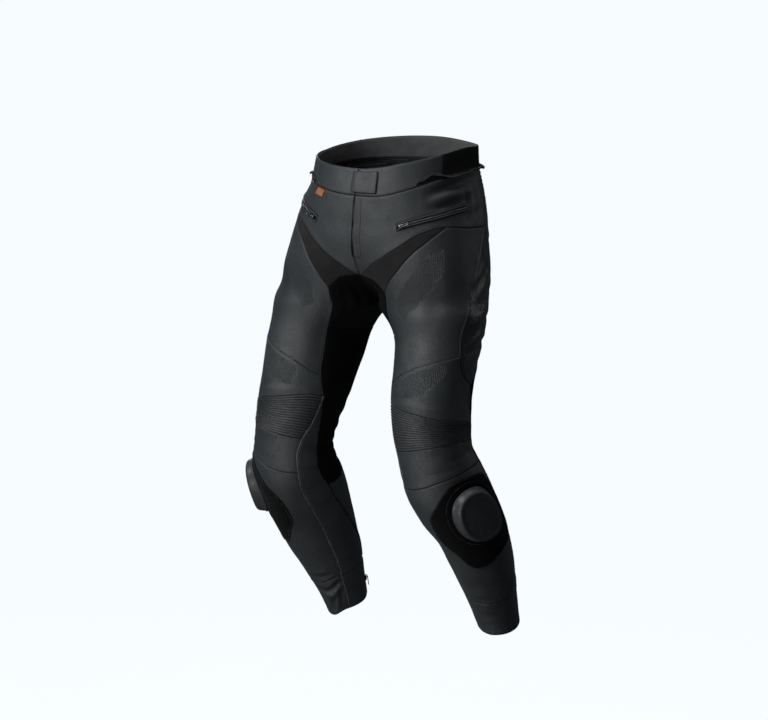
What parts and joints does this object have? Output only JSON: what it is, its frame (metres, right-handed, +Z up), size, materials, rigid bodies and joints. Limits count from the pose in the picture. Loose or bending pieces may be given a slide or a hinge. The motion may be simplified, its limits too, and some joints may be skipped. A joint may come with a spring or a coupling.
{
  "type": "motorcycle trousers",
  "caption": "Black leather motorcycle trousers, filled out as if worn, with ribbed stretch panels, bent knees, knee sliders, zipped pockets and a jacket zip round the back of the waist.",
  "frame": {"origin": "middle of the waist opening", "axes": "+Z up the wearer's body, the front faces -Y, the wearer's left is +X"},
  "size_m": [0.578, 0.3274, 0.9652],
  "materials": {
    "leather": "satin",
    "stretch": "matte",
    "facing": "matte",
    "elastic": "matte",
    "hook_tape": "matte",
    "puck": "satin",
    "zip_tape": "matte",
    "zip_metal": "satin",
    "label": "matte"
  },
  "bodies": {
    "trousers": {"above_knee_left": "leather", "above_knee_right": "leather", "back_label": "zip_tape", "back_stretch_left": "stretch", "back_stretch_right": "stretch", "back_yoke": "leather", "calf_back_left": "leather", "calf_back_right": "leather", "calf_slider_left": "zip_metal", "calf_slider_right": "zip_metal", "calf_zip_left": "zip_tape", "calf_zip_right": "zip_tape", "crescent_left": "stretch", "crescent_right": "stretch", "crotch_back": "stretch", "crotch_front": "stretch", "cuff_left": "leather", "cuff_right": "leather", "fly_placket": "leather", "fly_zip": "zip_tape", "inner_leg_left": "leather", "inner_leg_right": "leather", "jacket_zip": "zip_tape", "knee_left": "leather", "knee_puck_left": "puck", "knee_puck_right": "puck", "knee_ribs_left": "leather", "knee_ribs_right": "leather", "knee_right": "leather", "pocket_slider_left": "zip_metal", "pocket_slider_right": "zip_metal", "pocket_zip_left": "zip_tape", "pocket_zip_right": "zip_tape", "seat_left": "leather", "seat_right": "leather", "shin_left": "leather", "shin_right": "leather", "side_label": "label", "slider_patch_left": "hook_tape", "slider_patch_right": "hook_tape", "thigh_front_left": "leather", "thigh_front_right": "leather", "thigh_side_left": "leather", "thigh_side_right": "leather", "waist_facing": "facing", "waist_tab": "leather", "waistband_back": "leather", "waistband_elastic_left": "elastic", "waistband_elastic_right": "elastic", "waistband_front_left": "leather", "waistband_front_right": "leather", "yoke_front_left": "leather", "yoke_front_right": "leather"},
    "pocket_pull_left": {"pocket_pull_left": "zip_metal"},
    "pocket_pull_right": {"pocket_pull_right": "zip_metal"},
    "calf_pull_left": {"calf_pull_left": "zip_metal"},
    "calf_pull_right": {"calf_pull_right": "zip_metal"}
  },
  "joints": [
    {"name": "pocket_pull_left_swing", "type": "hinge", "parent": "trousers", "child": "pocket_pull_left", "pos_m": [0.103, -0.1432, -0.11891], "axis": [0.3918, -0.0435, -0.919], "range_deg": [0, 120]},
    {"name": "pocket_pull_right_swing", "type": "hinge", "parent": "trousers", "child": "pocket_pull_right", "pos_m": [-0.103, -0.1432, -0.11891], "axis": [0.3918, 0.0435, 0.919], "range_deg": [0, 120]},
    {"name": "calf_pull_left_swing", "type": "hinge", "parent": "trousers", "child": "calf_pull_left", "pos_m": [0.14114, 0.09804, -0.86907], "axis": [0.6593, 0.701, 0.2717], "range_deg": [0, 120]},
    {"name": "calf_pull_right_swing", "type": "hinge", "parent": "trousers", "child": "calf_pull_right", "pos_m": [-0.14114, 0.09804, -0.86907], "axis": [0.6593, -0.701, -0.2717], "range_deg": [0, 120]}
  ]
}
